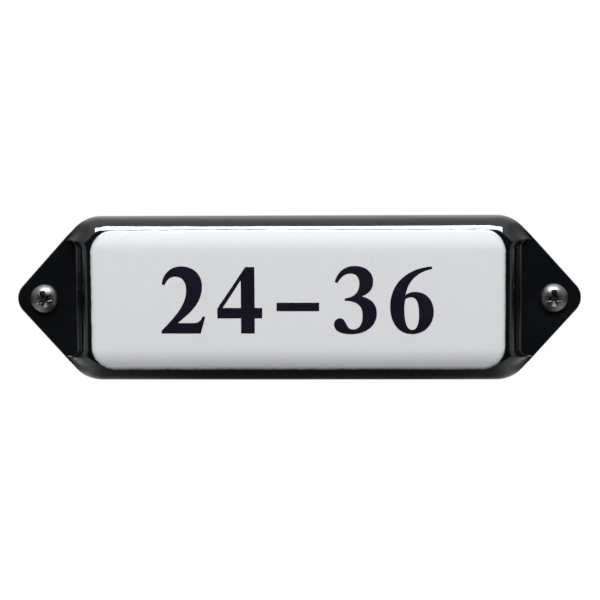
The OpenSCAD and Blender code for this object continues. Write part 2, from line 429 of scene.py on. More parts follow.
def pressed_sheet():
    """The whole sheet: its front and back, its edge all round and the ears' flats."""
    curves = [slope_curve(s) for s in quarter]
    front = [field_ring(INMOST, share) for share in reversed(SHEET_SHARES)]
    front += [field_ring(inset) for inset in reversed(SHEET_INSETS)]
    front += [whole_ring([on_curve(c, k / SLOPE_N) for c in curves]) for k in range(1, SLOPE_N + 1)]
    back = moved_through(front[:-1], -SHEET) + [whole_ring([s[3] for s in quarter])]

    skin = Skin()
    skin.cap(raised(0, 0, field_height(0, 0)), front[0])
    skin.strips(front)
    skin.cap(raised(0, 0, field_height(0, 0) - SHEET), back[0])
    skin.strips(back)

    rim = []
    for s, c in quarter_turn(FRONT_ROUND_N):
        rim.append(whole_ring(outline_row(-FRONT_ROUND * (1 - s), -FRONT_ROUND * (1 - c))))
    for s, c in quarter_turn(BACK_ROUND_N):
        rim.append(whole_ring(outline_row(-BACK_ROUND * (1 - c), -SHEET + BACK_ROUND * (1 - s))))
    skin.strips(rim)

    ear_flat(skin, outline_row(-FRONT_ROUND, 0), [s[1] for s in quarter], SHEET, 1)
    ear_flat(skin, outline_row(-BACK_ROUND, -SHEET), [s[3] for s in quarter], 0.0, -1)
    return skin.made("pressed_sheet")


# White enamel on the panel

COAT_SUNK = 0.03
# Waves round the field, their height in millimetres and their start
EDGE_WAVES = ((7, 0.035, 0.6), (17, 0.03, 2.1), (41, 0.018, 4.0), (83, 0.012, 1.2))


def coat_thickness(inset):
    """The fired coat swells from nothing at its edge to its full thickness."""
    d = min(1.0, max(0.0, inset / COAT_ROUND))
    return COAT * math.sqrt(1 - (1 - d) ** 2)


def edge_wander(k, n):
    """Small drift of the brushed-off edge round the field, in millimetres."""
    t = 2 * math.pi * k / n
    return sum(height * math.sin(waves * t + start) for waves, height, start in EDGE_WAVES)


def coat_ring(inset, share=1.0, sunk=0.0):
    """A ring of the coat's face at an inset from the field's edge, shrunk by a share."""
    places = [s[0](inset) for s in quarter]
    flat = whole_ring([Vector((x * share, 0, z * share)) for x, z in places])
    fade = 1 - inset / INMOST if share == 1.0 else 0.0
    row = []
    for k, p in enumerate(flat):
        inward = edge_wander(k, len(flat)) * fade
        q = p * (1 - inward / p.length)
        row.append(over_field(q.x, q.z, coat_thickness(inset) - sunk))
    return row


def white_coat():
    """The coat's face, with its edge sunk a little into the sheet."""
    skin = Skin()
    rings = [coat_ring(0.0, sunk=COAT_SUNK)] + [coat_ring(inset) for inset in COAT_INSETS]
    rings += [coat_ring(INMOST, share) for share in COAT_SHARES]
    skin.strips(rings)
    skin.cap(over_field(0, 0, COAT), rings[-1])
    return skin.made("white_coat")


# Numerals, drawn on a height of 1000 units: each has its width and its outlines, and an outline is
# a loop of lines (two numbers) and curves (two handles and an end)

NUMERALS = {
    "2": (730, [[
        (40, 0), (630, 0), (700, 255), (656, 255),
        (628, 180, 590, 158, 500, 158), (285, 158),
        (440, 290, 655, 440, 655, 712), (655, 890, 525, 1012, 345, 1012),
        (190, 1012, 78, 920, 48, 745), (92, 728),
        (125, 812, 178, 858, 250, 858), (355, 858, 415, 780, 415, 655),
        (415, 430, 245, 255, 40, 42),
    ]]),
    "4": (740, [[
        (592, 1000), (592, 385), (705, 385), (705, 228), (592, 228), (592, 0),
        (385, 0), (385, 228), (30, 228), (30, 375), (455, 1000),
    ], [
        (385, 385), (385, 800), (112, 385),
    ]]),
    "3": (720, [[
        (52, 772), (95, 925, 200, 1012, 345, 1012), (520, 1012, 628, 918, 628, 775),
        (628, 665, 560, 590, 455, 556), (605, 522, 682, 432, 682, 300),
        (682, 110, 520, -14, 290, -14), (130, -14, 40, 45, 40, 132),
        (40, 190, 80, 228, 138, 228), (225, 228, 215, 58, 322, 58),
        (420, 58, 468, 140, 468, 268), (468, 422, 380, 486, 200, 490), (200, 526),
        (350, 542, 420, 622, 420, 750), (420, 846, 366, 898, 288, 898),
        (206, 898, 146, 848, 94, 756),
    ]]),
    "6": (740, [[
        (662, 1004), (300, 972, 40, 760, 40, 400), (40, 150, 170, -14, 366, -14),
        (560, -14, 692, 130, 692, 322), (692, 502, 575, 622, 412, 622),
        (352, 622, 306, 604, 272, 574), (302, 770, 432, 920, 668, 964),
    ], [
        (366, 540), (300, 540, 275, 520, 266, 500), (256, 450, 252, 420, 252, 370),
        (252, 170, 288, 50, 370, 50), (442, 50, 472, 140, 472, 290),
        (472, 430, 440, 540, 366, 540),
    ]]),
    "-": (760, [[(60, 335), (700, 335), (700, 462), (60, 462)]]),
}
NUMERAL_UNITS = 1000
NUMERAL_H = 16.4
NUMBER_W = 68.4
NUMBER_CUTS = 24
CURVE_STEPS = 14
STRAIGHT_HANDLE = 0.33
FILM = 0.05
FILM_ROUND = 0.025
# Edges of the film sharper than this angle stay crisp
CRISP_NUMBER = 40


def add_outline(curve, contour, place):
    """One closed outline on a curve; place turns a point's units into metres."""
    n = len(contour)
    ends = [place(c[-2:]) for c in contour]
    spline = curve.splines.new("BEZIER")
    spline.bezier_points.add(n - 1)
    spline.use_cyclic_u = True
    for k, point in enumerate(spline.bezier_points):
        into, out = contour[k], contour[(k + 1) % n]
        point.handle_left_type = point.handle_right_type = "FREE"
        point.co = ends[k]
        straight_left = point.co.lerp(ends[k - 1], STRAIGHT_HANDLE)
        straight_right = point.co.lerp(ends[(k + 1) % n], STRAIGHT_HANDLE)
        point.handle_left = place(into[2:4]) if len(into) == 6 else straight_left
        point.handle_right = place(out[0:2]) if len(out) == 6 else straight_right


def number_curves(text):
    """A flat filled curve object of the number, standing on its baseline at the origin."""
    curve = bpy.data.curves.new("number_outlines", "CURVE")
    curve.dimensions = "2D"
    curve.fill_mode = "BOTH"
    curve.resolution_u = CURVE_STEPS
    curve.extrude = (FILM / 2 - FILM_ROUND) * MM
    curve.bevel_depth = FILM_ROUND * MM
    curve.bevel_resolution = 2
    curve.offset = -FILM_ROUND * MM
    unit = NUMERAL_H / NUMERAL_UNITS
    widths = [NUMERALS[c][0] for c in text]
    gap = (NUMBER_W / unit - sum(widths)) / (len(text) - 1)
    pen = 0.0
    for numeral, width in zip(text, widths):
        for contour in NUMERALS[numeral][1]:
            add_outline(curve, contour, lambda p: Vector(((pen + p[0]) * unit * MM, p[1] * unit * MM, 0)))
        pen += width + gap
    return bpy.data.objects.new("number_outlines", curve)


def number(text):
    """The numerals as a thin film of dark enamel that follows the crowned field."""
    flat = number_curves(text)
    bpy.context.scene.collection.objects.link(flat)
    bpy.context.view_layer.update()
    depsgraph = bpy.context.evaluated_depsgraph_get()
    mesh = bpy.data.meshes.new_from_object(flat.evaluated_get(depsgraph))
    mesh.name = "number"
    bpy.data.objects.remove(flat)
    bm = bmesh.new()
    bm.from_mesh(mesh)
    bmesh.ops.remove_doubles(bm, verts=bm.verts, dist=1e-7)
    # Level cuts let the film bend with the field
    for k in range(1, NUMBER_CUTS):
        cut = (0, NUMERAL_H * k / NUMBER_CUTS * MM, 0)
        everything = bm.verts[:] + bm.edges[:] + bm.faces[:]
        bmesh.ops.bisect_plane(bm, geom=everything, plane_co=cut, plane_no=(0, 1, 0), dist=1e-8)
    for v in bm.verts:
        x, z = v.co.x / MM - NUMBER_W / 2, v.co.y / MM - NUMERAL_H / 2
        v.co = over_field(x, z, COAT + FILM / 2 + v.co.z / MM) * MM
    bmesh.ops.recalc_face_normals(bm, faces=bm.faces)
    bm.to_mesh(mesh)
    bm.free()
    mesh.materials.clear()
    return placed("number", mesh, CRISP_NUMBER)


# Screws

# The pan head: a dome that rolls over at its rim, and a small round at its seat
HEAD_R = 3.55
HEAD_H = 2.4
HEAD_SIDE = 0.75
RIM_IN = 0.22
RIM_DOWN = 0.24
SEAT_ROUND = 0.12
DOME_RADIUS = (HEAD_R ** 2 + (HEAD_H - HEAD_SIDE) ** 2) / (2 * (HEAD_H - HEAD_SIDE))
DOME_DROP = HEAD_H - DOME_RADIUS

# The cross recess: its fine rings run on by a margin; half a wing's width; walls; floor that climbs
RECESS_R = 2.1
RECESS_DEEP = 1.7
RECESS_MARGIN = 0.3
RECESS_GAP = 0.03
WING = 0.62
WING_FILLET = 0.45
LIP = 0.2
WALL_STEEP = 3.2
FLOOR_R = 0.8
FLOOR_CLIMB = 0.93
FLOOR_FILLET = 0.1

# The neck through the sheet, and the threaded shank with its point
NECK_R = 1.3
NECK_L = SHEET + 0.3
THREAD_R = 1.75
PITCH = 1.35
CREST_W = 0.55
RUN_IN = 0.8
CORE_SHARE = 0.9
SHANK_L = 16.0
POINT_L = 4.0

# Steps round the head and the shank, down the head's profile, and along the thread in millimetres
HEAD_N = 384
SHANK_N = 48
RECESS_N = 60
DOME_N = 21
RIM_N = 5
THREAD_STEP = 0.09

# Edges of a screw sharper than this angle stay crisp
CRISP_SCREW = 32


def lathed(profile, n):
    """Rings of a turned shape from (radius, height) pairs, round the local Z axis."""
    turns = [2 * math.pi * k / n for k in range(n)]
    return [[Vector((r * math.cos(a), r * math.sin(a), h)) for a in turns] for r, h in profile]


def dome_height(r):
    """Height of the whole dome at a distance from its axis."""
    return DOME_DROP + math.sqrt(DOME_RADIUS ** 2 - r * r)


def head_profile():
    """From the middle of the dome out, round the rim and down to the seat."""
    rim_r = HEAD_R - RIM_IN
    rows = [(rim_r * k / DOME_N, dome_height(rim_r * k / DOME_N)) for k in range(1, DOME_N + 1)]
    rim_h = dome_height(rim_r)
    corner_h = rim_h - RIM_IN * rim_r / math.sqrt(DOME_RADIUS ** 2 - rim_r * rim_r)
    for k in range(1, RIM_N + 1):
        t = k / RIM_N
        a, b, c = (1 - t) ** 2, 2 * t * (1 - t), t * t
        rows.append((a * rim_r + (b + c) * HEAD_R, a * rim_h + b * corner_h + c * (corner_h - RIM_DOWN)))
    rows += [
        (HEAD_R, SEAT_ROUND),
        (HEAD_R - SEAT_ROUND / 3, SEAT_ROUND / 3),
        (HEAD_R - SEAT_ROUND, 0.0),
    ]
    return rows


def softer_max(a, b, width):
    """The larger of two numbers, rounded where they meet."""
    near = max(0.0, width - abs(a - b)) / width
    return max(a, b) + near * near * width / 4


def head_top(x, y):
    """Height of the head's top: the dome, sunk where the cross recess is."""
    r = math.hypot(x, y)
    dome = dome_height(r)
    inside = softer_max(WING - abs(x), WING - abs(y), WING_FILLET)
    if inside < -LIP:
        return dome
    if inside < LIP:
        depth = WALL_STEEP * (inside + LIP) ** 2 / (4 * LIP)
    else:
        depth = WALL_STEEP * inside
    floor = HEAD_H - RECESS_DEEP + max(0.0, r - FLOOR_R) * FLOOR_CLIMB
    return min(dome, softer_max(dome - depth, floor, FLOOR_FILLET))


def head_rings():
    """The pan head's rings from the middle of the recess to the seat."""
    sunk_r = RECESS_R + RECESS_MARGIN
    turns = [turned_by(360 * j / HEAD_N) for j in range(HEAD_N)]
    rings = []
    for k in range(1, RECESS_N + 1):
        r = sunk_r * k / RECESS_N
        rings.append([Vector((r * c, r * s, head_top(r * c, r * s))) for s, c in turns])
    beyond = [p for p in head_profile() if p[0] > sunk_r + RECESS_GAP or p[1] < HEAD_SIDE]
    return rings + lathed(beyond, HEAD_N)


def thread_radius(share, h):
    """Radius of the thread at a share of a turn and a depth under its start."""
    crest = abs(((h / PITCH + share) % 1.0) - 0.5) * 2
    lift = max(0.0, 1 - crest / CREST_W)
    taper = min(1.0, max(0.02, (SHANK_L - NECK_L - h) / POINT_L))
    run_in = min(1.0, h / RUN_IN)
    core = NECK_R * CORE_SHARE * taper ** 0.8
    return core + (THREAD_R * taper ** 0.5 - core) * lift * run_in


def shank():
    """Plain neck and threaded shank under the head, as rows of points."""
    rows = lathed([(NECK_R, h) for h in (0.0, -0.2, -0.8, -NECK_L)], SHANK_N)
    length = SHANK_L - NECK_L
    steps = int(length / THREAD_STEP)
    for k in range(1, steps + 1):
        h = length * k / steps
        row = []
        for j in range(SHANK_N):
            a = 2 * math.pi * j / SHANK_N
            r = thread_radius(j / SHANK_N, h)
            row.append(Vector((r * math.cos(a), r * math.sin(a), -NECK_L - h)))
        rows.append(row)
    return rows


def screw(name, side, turn):
    """One whole screw at its hole; its head sits on the ear."""
    skin = Skin()
    head = head_rings()
    skin.strips(head)
    skin.cap(Vector((0, 0, head_top(0, 0))), head[0])
    skin.cap(Vector((0, 0, 0)), head[-1])
    rows = shank()
    skin.strips(rows)
    skin.cap(Vector((0, 0, -SHANK_L)), rows[-1])
    piece = skin.made(name, CRISP_SCREW)
    seat = Matrix.Translation(Vector((side * HOLE_X, -SHEET, 0)) * MM)
    stand = Matrix.Rotation(math.radians(90), 4, "X") @ Matrix.Rotation(math.radians(turn), 4, "Z")
    piece.data.transform(seat @ stand)
    return piece


# Materials

# Colours, each pair a drift between two shades
BLACK_GLASS = ((0.0018, 0.0024, 0.0032, 1), (0.0034, 0.0042, 0.0054, 1))
BLACK_DUST = (0.05, 0.05, 0.053, 1)
BLACK_PINHOLE = (0.09, 0.09, 0.095, 1)
WHITE_GLASS = ((0.745, 0.755, 0.775, 1), (0.79, 0.795, 0.81, 1))
WHITE_SHEER = (0.6, 0.655, 0.64, 1)
WHITE_BARE = (0.09, 0.12, 0.14, 1)
WHITE_DUST = (0.55, 0.55, 0.55, 1)
WHITE_SPECK = (0.3, 0.29, 0.28, 1)
NUMERAL_GLASS = ((0.0055, 0.005, 0.011, 1), (0.011, 0.01, 0.019, 1))
NUMERAL_DUST = (0.06, 0.06, 0.065, 1)
NUMERAL_PINHOLE = (0.25, 0.25, 0.26, 1)
STEEL = ((0.12, 0.12, 0.125, 1), (0.19, 0.186, 0.182, 1))
STEEL_DULL = (0.13, 0.12, 0.11, 1)
# Painted shade: the steel's colour deep in the cross recess, darkened to stand in for the shade there
STEEL_RECESS_SHADE = (0.018, 0.017, 0.016, 1)

# Roughness where clean and where dusty, and the dust that counts as full
BLACK_ROUGH = (0.055, 0.16)
WHITE_ROUGH = (0.07, 0.16)
NUMERAL_ROUGH = (0.09, 0.2)
STEEL_ROUGH = (0.28, 0.4)
FULL_DUST = 0.3

# In metres: depth of the ripple and of the steel's grain, and where the white runs thin at its edge
RIPPLE_DEPTH = 0.00003
GRAIN_DEPTH = 0.000008
SHEER_BAND = (0.00005, 0.0012)
BARE_BAND = (-0.0001, 0.0004)
SHEER_WANDER = 0.0006

# How far a pinhole sinks beside the ripple, and what pinholes and the painted shade in the recess add to
# the roughness
PINHOLE_SINK = 0.4
PINHOLE_ROUGH = 0.3
RECESS_SHADE_ROUGH = 0.3

# In millimetres: how far under the dome the painted shade in the recess starts and where it is full, and
# how far out it reaches
RECESS_SHADE_BAND = (0.12, 0.35)
RECESS_SHADE_R = RECESS_R + 0.35

# Streaks on the steel: their scale along each axis, their slant in degrees, and the range that shows
STREAK_SCALE = (260.0, 260.0, 5200.0)
STREAK_SLANT = 28
STREAK_BAND = (0.3, 0.75)

# Stains on the steel: the range in which they turn dull, and how dull they get
STAIN_BAND = (0.55, 0.72)
STAIN_SHARE = 0.5

GLASS_IOR = 1.5


class Nodes:
    """Short ways to place nodes and links in one tree."""

    def __init__(self, tree):
        self.tree = tree

    def node(self, kind, **settings):
        """A new node of a kind, with its settings."""
        made = self.tree.nodes.new(kind)
        for key, value in settings.items():
            setattr(made, key, value)
        return made

    def link(self, out, into):
        self.tree.links.new(out, into)

    def feed(self, socket, value):
        """Links a socket into a socket, or sets a plain value on it."""
        if isinstance(value, bpy.types.NodeSocket):
            self.link(value, socket)
        elif value is not None:
            socket.default_value = value

    def math(self, operation, a, b=None, clamp=False):
        made = self.node("ShaderNodeMath", operation=operation, use_clamp=clamp)
        self.feed(made.inputs[0], a)
        self.feed(made.inputs[1], b)
        return made.outputs[0]

    def vector(self, operation, a, b=None):
        made = self.node("ShaderNodeVectorMath", operation=operation)
        self.feed(made.inputs[0], a)
        self.feed(made.inputs[1], b)
        return made.outputs["Value"] if operation == "LENGTH" else made.outputs[0]

    def noise(self, coordinates, scale, detail=2.0, roughness=0.5):
        made = self.node("ShaderNodeTexNoise")
        self.feed(made.inputs["Vector"], coordinates)
        self.feed(made.inputs["Scale"], scale)
        made.inputs["Detail"].default_value = detail
        made.inputs["Roughness"].default_value = roughness
        return made.outputs["Fac"]

    def cells(self, coordinates, scale):
        made = self.node("ShaderNodeTexVoronoi")
        self.feed(made.inputs["Vector"], coordinates)
        self.feed(made.inputs["Scale"], scale)
        return made

    def ranged(self, value, low, high, to_low=0.0, to_high=1.0, smooth=False):
        """A value carried from one range to another, and held at its ends."""
        made = self.node("ShaderNodeMapRange", interpolation_type="SMOOTHSTEP" if smooth else "LINEAR")
        self.feed(made.inputs["Value"], value)
        self.feed(made.inputs["From Min"], low)
        self.feed(made.inputs["From Max"], high)
        self.feed(made.inputs["To Min"], to_low)
        self.feed(made.inputs["To Max"], to_high)
        return made.outputs["Result"]

    def mix(self, share, a, b):
        made = self.node("ShaderNodeMix", data_type="RGBA")
        self.feed(made.inputs["Factor"], share)
        self.feed(made.inputs["A"], a)
        self.feed(made.inputs["B"], b)
        return made.outputs["Result"]


def new_effect(name, inputs, outputs):
    """An empty shader node group with named sockets; returns its nodes, input and output."""
    tree = bpy.data.node_groups.new(name, "ShaderNodeTree")
    for label, kind, value in inputs:
        socket = tree.interface.new_socket(label, in_out="INPUT", socket_type=kind)
        if value is not None:
            socket.default_value = value
    for label, kind in outputs:
        tree.interface.new_socket(label, in_out="OUTPUT", socket_type=kind)
    n = Nodes(tree)
    return tree, n, n.node("NodeGroupInput").outputs, n.node("NodeGroupOutput").inputs


FLOAT, VECTOR = "NodeSocketFloat", "NodeSocketVector"


def make_fired_ripple():
    """Slow swell and fine orange peel of glass that flowed in the kiln."""
    tree, n, given, out = new_effect(
        "fired_ripple",
        [("Place", VECTOR, None), ("Swell", FLOAT, 1.0), ("Peel", FLOAT, 1.0)],
        [("Height", FLOAT)],
    )
    swell = n.math("MULTIPLY", n.noise(given["Place"], scale=190.0, detail=1.0), given["Swell"])
    peel = n.math("MULTIPLY", n.noise(given["Place"], scale=900.0), given["Peel"])
    n.link(n.math("ADD", swell, peel), out["Height"])
    return tree


def make_pinholes():
    """Few tiny specks and burst bubbles scattered in the glass."""
    tree, n, given, out = new_effect(
        "pinholes",
        [("Place", VECTOR, None), ("Spacing", FLOAT, 300.0), ("Size", FLOAT, 0.08), ("Share", FLOAT, 0.15)],
        [("Mask", FLOAT)],
    )
    cell = n.cells(given["Place"], given["Spacing"])
    pick = n.node("ShaderNodeSeparateColor")
    n.link(cell.outputs["Color"], pick.inputs[0])
    chosen = n.math("LESS_THAN", pick.outputs[0], given["Share"])
    least, core = 0.35, 0.4
    size = n.math("MULTIPLY", n.math("ADD", pick.outputs[1], least), given["Size"])
    spot = n.ranged(cell.outputs["Distance"], size, n.math("MULTIPLY", size, core), smooth=True)
    n.link(n.math("MULTIPLY", chosen, spot), out["Mask"])
    return tree


def make_fine_dust():
    """Faint patches of dust and old polish."""
    tree, n, given, out = new_effect(
        "fine_dust",
        [("Place", VECTOR, None), ("Amount", FLOAT, 0.3)],
        [("Mask", FLOAT)],
    )
    patch_share, dot_share = 0.5, 0.6
    cloud = n.noise(given["Place"], scale=85.0, detail=6.0, roughness=0.65)
    grains = n.noise(given["Place"], scale=3600.0, roughness=0.7)
    patches = n.math("MULTIPLY", n.ranged(cloud, 0.42, 0.75, smooth=True), patch_share)
    dots = n.math("MULTIPLY", n.ranged(grains, 0.58, 0.74, smooth=True), dot_share)
    both = n.math("ADD", patches, dots)
    n.link(n.math("MULTIPLY", both, given["Amount"], clamp=True), out["Mask"])
    return tree


fired_ripple = make_fired_ripple()
pinholes = make_pinholes()
fine_dust = make_fine_dust()


def new_finish(name, **constants):
    """A material whose Principled shader gets these constants on its own sockets."""
    material = bpy.data.materials.new(name)
    material.use_nodes = True
    n = Nodes(material.node_tree)
    shader = material.node_tree.nodes["Principled BSDF"]
    for socket, value in constants.items():
        shader.inputs[socket.replace("_", " ")].default_value = value
    place = n.node("ShaderNodeTexCoord").outputs["Object"]
    return material, n, shader, place


def effect(n, tree, place, **values):
    """An effect's group in a material, with its own values; returns what it puts out."""
    made = n.node("ShaderNodeGroup", node_tree=tree)
    n.link(place, made.inputs["Place"])
    for key, value in values.items():
        made.inputs[key].default_value = value
    return made.outputs[0]


def bump(n, shader, height, distance):
    """Bumps on a shader's surface, so many metres deep at a height of 1."""
    made = n.node("ShaderNodeBump")
    made.inputs["Distance"].default_value = distance
    n.link(height, made.inputs["Height"])
    n.link(made.outputs[0], shader.inputs["Normal"])


def make_black_enamel():
    """Deep black glass, a little dusty, on the sheet."""
    material, n, shader, place = new_finish("black_enamel", IOR=GLASS_IOR)
    dust = effect(n, fine_dust, place, Amount=0.1)
    holes = effect(n, pinholes, place, Spacing=240.0, Size=0.06, Share=0.1)
    glass = n.mix(n.noise(place, scale=140.0, detail=4.0), *BLACK_GLASS)
    dusty = n.mix(dust, glass, BLACK_DUST)
    n.link(n.mix(holes, dusty, BLACK_PINHOLE), shader.inputs["Base Color"])
    rough = n.ranged(dust, 0.0, FULL_DUST, *BLACK_ROUGH)
    torn = n.math("MULTIPLY", holes, PINHOLE_ROUGH)
    n.link(n.math("ADD", rough, torn), shader.inputs["Roughness"])
    ripple = effect(n, fired_ripple, place, Swell=1.0, Peel=0.12)
    sunk = n.math("MULTIPLY", holes, PINHOLE_SINK)
    bump(n, shader, n.math("SUBTRACT", ripple, sunk), RIPPLE_DEPTH)
    return material


def make_white_enamel():
    """White glass that runs thin at the field's edge and lets the black show through."""
    material, n, shader, place = new_finish("white_enamel", IOR=GLASS_IOR)
    # Distance inside the field's edge, from a rounded rectangle of its size
    flat = n.node("ShaderNodeCombineXYZ")
    parts = n.node("ShaderNodeSeparateXYZ")
    n.link(n.vector("ABSOLUTE", place), parts.inputs[0])
    n.link(n.math("SUBTRACT", parts.outputs[0], (FIELD_X - FIELD_R) * MM), flat.inputs[0])
    n.link(n.math("SUBTRACT", parts.outputs[2], (FIELD_Z - FIELD_R) * MM), flat.inputs[1])
    inner = n.node("ShaderNodeSeparateXYZ")
    n.link(flat.outputs[0], inner.inputs[0])
    beyond = n.vector("LENGTH", n.vector("MAXIMUM", flat.outputs[0], (0, 0, 0)))
    within = n.math("MINIMUM", n.math("MAXIMUM", inner.outputs[0], inner.outputs[1]), 0.0)
    inside = n.math("SUBTRACT", FIELD_R * MM, n.math("ADD", beyond, within))
    drift = n.math("SUBTRACT", n.noise(place, scale=420.0, detail=3.0), 0.5)
    inside = n.math("ADD", inside, n.math("MULTIPLY", drift, SHEER_WANDER))
    sheer = n.ranged(inside, *SHEER_BAND, 1.0, 0.0, smooth=True)
    bare = n.ranged(inside, *BARE_BAND, 1.0, 0.0, smooth=True)

    glass = n.mix(n.noise(place, scale=60.0, detail=5.0, roughness=0.6), *WHITE_GLASS)
    tinted = n.mix(sheer, glass, WHITE_SHEER)
    thin = n.mix(bare, tinted, WHITE_BARE)
    specks = effect(n, pinholes, place, Spacing=330.0, Size=0.05, Share=0.08)
    dust = effect(n, fine_dust, place, Amount=0.1)
    dusty = n.mix(dust, thin, WHITE_DUST)
    n.link(n.mix(specks, dusty, WHITE_SPECK), shader.inputs["Base Color"])
    n.link(n.ranged(dust, 0.0, FULL_DUST, *WHITE_ROUGH), shader.inputs["Roughness"])
    ripple = effect(n, fired_ripple, place, Swell=1.0, Peel=0.15)
    sunk = n.math("MULTIPLY", specks, PINHOLE_SINK)
    bump(n, shader, n.math("SUBTRACT", ripple, sunk), RIPPLE_DEPTH)
    return material


def make_numeral_enamel():
    """Near black glass of the numerals, with a breath of blue."""
    material, n, shader, place = new_finish("numeral_enamel", IOR=GLASS_IOR)
    glass = n.mix(n.noise(place, scale=260.0, detail=4.0, roughness=0.6), *NUMERAL_GLASS)
    dust = effect(n, fine_dust, place, Amount=0.1)
    holes = effect(n, pinholes, place, Spacing=420.0, Size=0.05, Share=0.08)
    dusty = n.mix(dust, glass, NUMERAL_DUST)
    n.link(n.mix(holes, dusty, NUMERAL_PINHOLE), shader.inputs["Base Color"])
    n.link(n.ranged(dust, 0.0, FULL_DUST, *NUMERAL_ROUGH), shader.inputs["Roughness"])
    ripple = effect(n, fired_ripple, place, Swell=0.8, Peel=0.25)
    bump(n, shader, ripple, RIPPLE_DEPTH)
    return material


def make_screw_steel():
    """Dull steel, streaked and stained, with painted shade that darkens the recess."""
    material, n, shader, place = new_finish("screw_steel", Metallic=1.0)
    stretched = n.node("ShaderNodeMapping")
    stretched.inputs["Scale"].default_value = STREAK_SCALE
    stretched.inputs["Rotation"].default_value = (0.0, math.radians(STREAK_SLANT), 0.0)
    n.link(place, stretched.inputs["Vector"])
    streaks = n.noise(stretched.outputs[0], scale=1.0, detail=5.0, roughness=0.7)
    stains = n.noise(place, scale=700.0, detail=5.0, roughness=0.65)
    grain = n.noise(place, scale=5200.0, detail=3.0, roughness=0.6)

    # How far a point lies under the dome, inside the recess
    parts = n.node("ShaderNodeSeparateXYZ")
    n.link(place, parts.inputs[0])
    folded = n.node("ShaderNodeCombineXYZ")
    n.link(n.math("SUBTRACT", n.math("ABSOLUTE", parts.outputs[0]), HOLE_X * MM), folded.inputs[0])
    n.link(parts.outputs[2], folded.inputs[2])
    from_axis = n.vector("LENGTH", folded.outputs[0])
    n.link(n.math("ADD", parts.outputs[1], (SHEET + DOME_DROP) * MM), folded.inputs[1])
    from_centre = n.vector("LENGTH", folded.outputs[0])
    shallow, full = [(DOME_RADIUS - down) * MM for down in RECESS_SHADE_BAND]
    deep = n.ranged(from_centre, shallow, full, smooth=True)
    within = n.math("LESS_THAN", from_axis, RECESS_SHADE_R * MM)
    above = n.math("LESS_THAN", parts.outputs[1], -SHEET * MM)
    # Painted shade: the recess is darkened by its depth, standing in for the shade inside it
    recess_shade = n.math("MULTIPLY", deep, n.math("MULTIPLY", within, above))

    metal = n.mix(stains, *STEEL)
    dull = n.ranged(stains, *STAIN_BAND, 0.0, STAIN_SHARE, smooth=True)
    worn = n.mix(dull, metal, STEEL_DULL)
    n.link(n.mix(recess_shade, worn, STEEL_RECESS_SHADE), shader.inputs["Base Color"])
    rough = n.ranged(streaks, *STREAK_BAND, *STEEL_ROUGH)
    n.link(n.math("ADD", rough, n.math("MULTIPLY", recess_shade, RECESS_SHADE_ROUGH)), shader.inputs["Roughness"])
    height = n.math("ADD", streaks, n.math("MULTIPLY", grain, 0.5))
    bump(n, shader, height, GRAIN_DEPTH)
    return material


# Pieces of the door plate

black_enamel = make_black_enamel()
white_enamel = make_white_enamel()
numeral_enamel = make_numeral_enamel()
screw_steel = make_screw_steel()


def finish_piece(piece, material, node=None):
    """A piece with its material, riding on the part's one body."""
    piece.data.materials.append(material)
    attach(piece, "root")
    if node:
        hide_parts(node)


finish_piece(pressed_sheet(), black_enamel, "plate")
finish_piece(white_coat(), white_enamel, "white_enamel")
finish_piece(number("24-36"), numeral_enamel)
finish_piece(screw("left_screw", side=-1, turn=14), screw_steel, "screw_left")
finish_piece(screw("right_screw", side=1, turn=0), screw_steel, "screw_right")


# Studio, in metres and degrees

AIM = Vector((0.00040, 0.0, -0.00062))
VIEW_W = 0.14944
DISTANCE = 0.48
AZIMUTH = 1.8
ELEVATION = 5.5
ROLL = -0.28

# What gloss meets by direction, where y points away from the camera, x to the right and z up;
# each pair is where a change starts and where it ends
FRONT_Y = (-0.66, -0.5)
WALL_LEVEL = 1.35
UNDER_Z = (0.05, -0.15)
UNDER_X = (0.75, 0.25)
UNDER_SHADE = 0.88
SIDE_X = (0.45, 0.85)
SIDE_LEVEL = 0.5
LEAST_LEVEL = 0.04
DIFFUSE_LEVEL = 0.06

# The backdrop's paper and cove, and how far from its middle a card is clear and where it is full
PAPER = (0.6, 0.6, 0.6, 1)
PAPER_ROUGH = 0.9
COVE_N = 12
CARD_FADE = (0.5, 0.1)


def towards(azimuth, elevation):
    """Direction from the plate; azimuth 0 is in front of it, positive to the right."""
    sa, ca = turned_by(azimuth)
    se, ce = turned_by(elevation)
    return Vector((sa * ce, -ca * ce, se))


def facing_back(direction):
    """The turn of a camera or lamp that stands in a direction and faces the plate."""
    return (-direction).to_track_quat("-Z", "Y")


def make_camera():
    """A long lens in front of the plate, a little to the right and above."""
    data = bpy.data.cameras.new("camera")
    data.sensor_width = 36.0
    data.lens = data.sensor_width * DISTANCE / VIEW_W
    data.clip_start = 0.01
    camera = bpy.data.objects.new("camera", data)
    away = towards(AZIMUTH, ELEVATION)
    camera.location = AIM + away * DISTANCE
    camera.rotation_mode = "QUATERNION"
    roll_turn = Matrix.Rotation(math.radians(ROLL), 4, "Z").to_quaternion()
    camera.rotation_quaternion = facing_back(away) @ roll_turn
    bpy.context.scene.collection.objects.link(camera)
    bpy.context.scene.camera = camera


def lamp(name, azimuth, elevation, distance, width, height, level):
    """A soft box; level is how bright its face is, where 1 is white."""
    data = bpy.data.lights.new(name, "AREA")
    data.shape = "RECTANGLE"
    data.size, data.size_y = width, height
    data.energy = level * math.pi * width * height
    box = bpy.data.objects.new(name, data)
    away = towards(azimuth, elevation)
    box.location = away * distance
    box.rotation_mode = "QUATERNION"
    box.rotation_quaternion = facing_back(away)
    bpy.context.scene.collection.objects.link(box)


